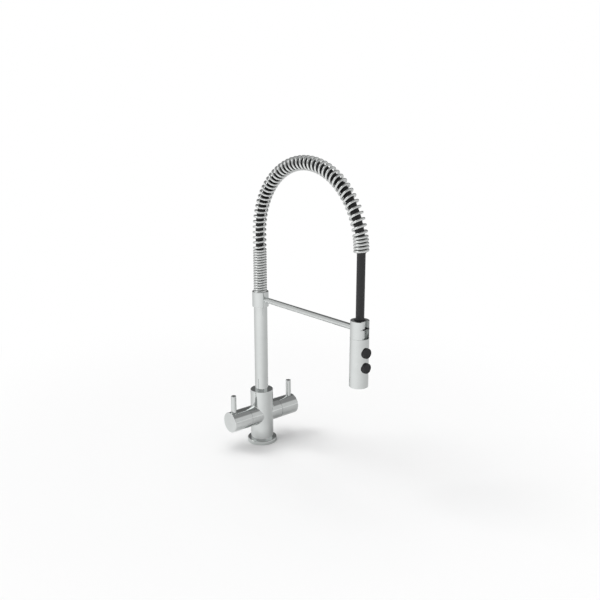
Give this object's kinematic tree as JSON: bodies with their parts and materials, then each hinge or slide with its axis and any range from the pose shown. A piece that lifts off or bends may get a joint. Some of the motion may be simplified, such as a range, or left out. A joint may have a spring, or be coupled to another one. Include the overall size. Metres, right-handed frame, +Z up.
{
  "type": "spring arch kitchen mixer tap",
  "caption": "Twin-lever deck-mounted kitchen mixer tap with a tall chrome spring arch, a docking arm and a push-button pull-down spray head.",
  "frame": {"origin": "centre of the underside of the body and deck ring, on the deck", "axes": "+Z up along the column, -Y out towards the spray head, X along the two handles"},
  "size_m": [0.133, 0.2725, 0.4868],
  "materials": {
    "polished_chrome": "mirror-polished chrome plate on brass",
    "spring_chrome": "polished chrome-plated spring wire",
    "black_hose": "smooth satin black hose",
    "black_rubber": "black moulded rubber",
    "brass": "machined brass",
    "disc_ceramic": "lapped alumina ceramic",
    "bearing_plastic": "natural acetal",
    "stainless_steel": "stainless steel",
    "button_rubber": "soft black moulded rubber",
    "nozzle_silicone": "dark grey silicone",
    "valve_plastic": "moulded grey plastic"
  },
  "bodies": {
    "base": {"mixer_body": "polished_chrome", "base_ring": "polished_chrome", "base_seal": "black_rubber", "swivel_bush": "bearing_plastic", "column_lock_screw": "stainless_steel", "left_cartridge_body": "brass", "left_cartridge_seal": "black_rubber", "left_fixed_disc": "disc_ceramic", "right_cartridge_body": "brass", "right_cartridge_seal": "black_rubber", "right_fixed_disc": "disc_ceramic"},
    "spout": {"column_tube": "polished_chrome", "column_spigot": "brass", "spigot_seals": "black_rubber", "collar": "polished_chrome", "collar_screw": "stainless_steel", "arm_rod": "polished_chrome", "spray_holder": "polished_chrome", "arch_spring": "spring_chrome", "arch_hose": "black_hose", "drop_hose": "black_hose", "hose_connector": "brass", "upper_ferrule": "stainless_steel", "spring_end_bush": "black_rubber"},
    "spray_head": {"head_shell": "polished_chrome", "head_neck": "polished_chrome", "neck_seal": "black_rubber", "hose_tail": "brass", "lower_ferrule": "stainless_steel", "neck_bush": "black_rubber", "valve_block": "valve_plastic", "check_valve": "valve_plastic", "nozzle_plate": "nozzle_silicone", "aerator": "valve_plastic"},
    "left_handle": {"left_handle_barrel": "polished_chrome", "left_lever_pin": "polished_chrome", "left_handle_screw": "stainless_steel", "left_spindle": "brass", "left_moving_disc": "disc_ceramic", "left_spindle_seal": "black_rubber"},
    "right_handle": {"right_handle_barrel": "polished_chrome", "right_lever_pin": "polished_chrome", "right_handle_screw": "stainless_steel", "right_spindle": "brass", "right_moving_disc": "disc_ceramic", "right_spindle_seal": "black_rubber"},
    "upper_button": {"upper_button_cap": "button_rubber", "upper_button_stem": "valve_plastic", "upper_button_spring": "stainless_steel"},
    "lower_button": {"lower_button_cap": "button_rubber", "lower_button_stem": "valve_plastic", "lower_button_spring": "stainless_steel"}
  },
  "joints": [
    {"name": "spout_swivel", "type": "hinge", "parent": "base", "child": "spout", "pos_m": [0, 0, 0.093], "axis": [0, 0, 1], "continuous": true},
    {"name": "left_handle_turn", "type": "hinge", "parent": "base", "child": "left_handle", "pos_m": [-0.0315, 0, 0.0497], "axis": [1, 0, 0], "range_deg": [0, 90]},
    {"name": "right_handle_turn", "type": "hinge", "parent": "base", "child": "right_handle", "pos_m": [0.0315, 0, 0.0497], "axis": [1, 0, 0], "range_deg": [0, 90]},
    {"name": "spray_head_pull", "type": "slide", "parent": "spout", "child": "spray_head", "axis": [0, 0, -1], "range_m": [0, 0.034], "stiffness_N_per_m": 60, "springref_m": -0.12, "deforming": ["drop_hose"]},
    {"name": "upper_button_press", "type": "slide", "parent": "spray_head", "child": "upper_button", "axis": [0, 1, 0], "range_m": [0, 0.002], "stiffness_N_per_m": 600, "springref_m": -0.002, "deforming": ["upper_button_spring"]},
    {"name": "lower_button_press", "type": "slide", "parent": "spray_head", "child": "lower_button", "axis": [0, 1, 0], "range_m": [0, 0.002], "stiffness_N_per_m": 600, "springref_m": -0.002, "deforming": ["lower_button_spring"]}
  ]
}
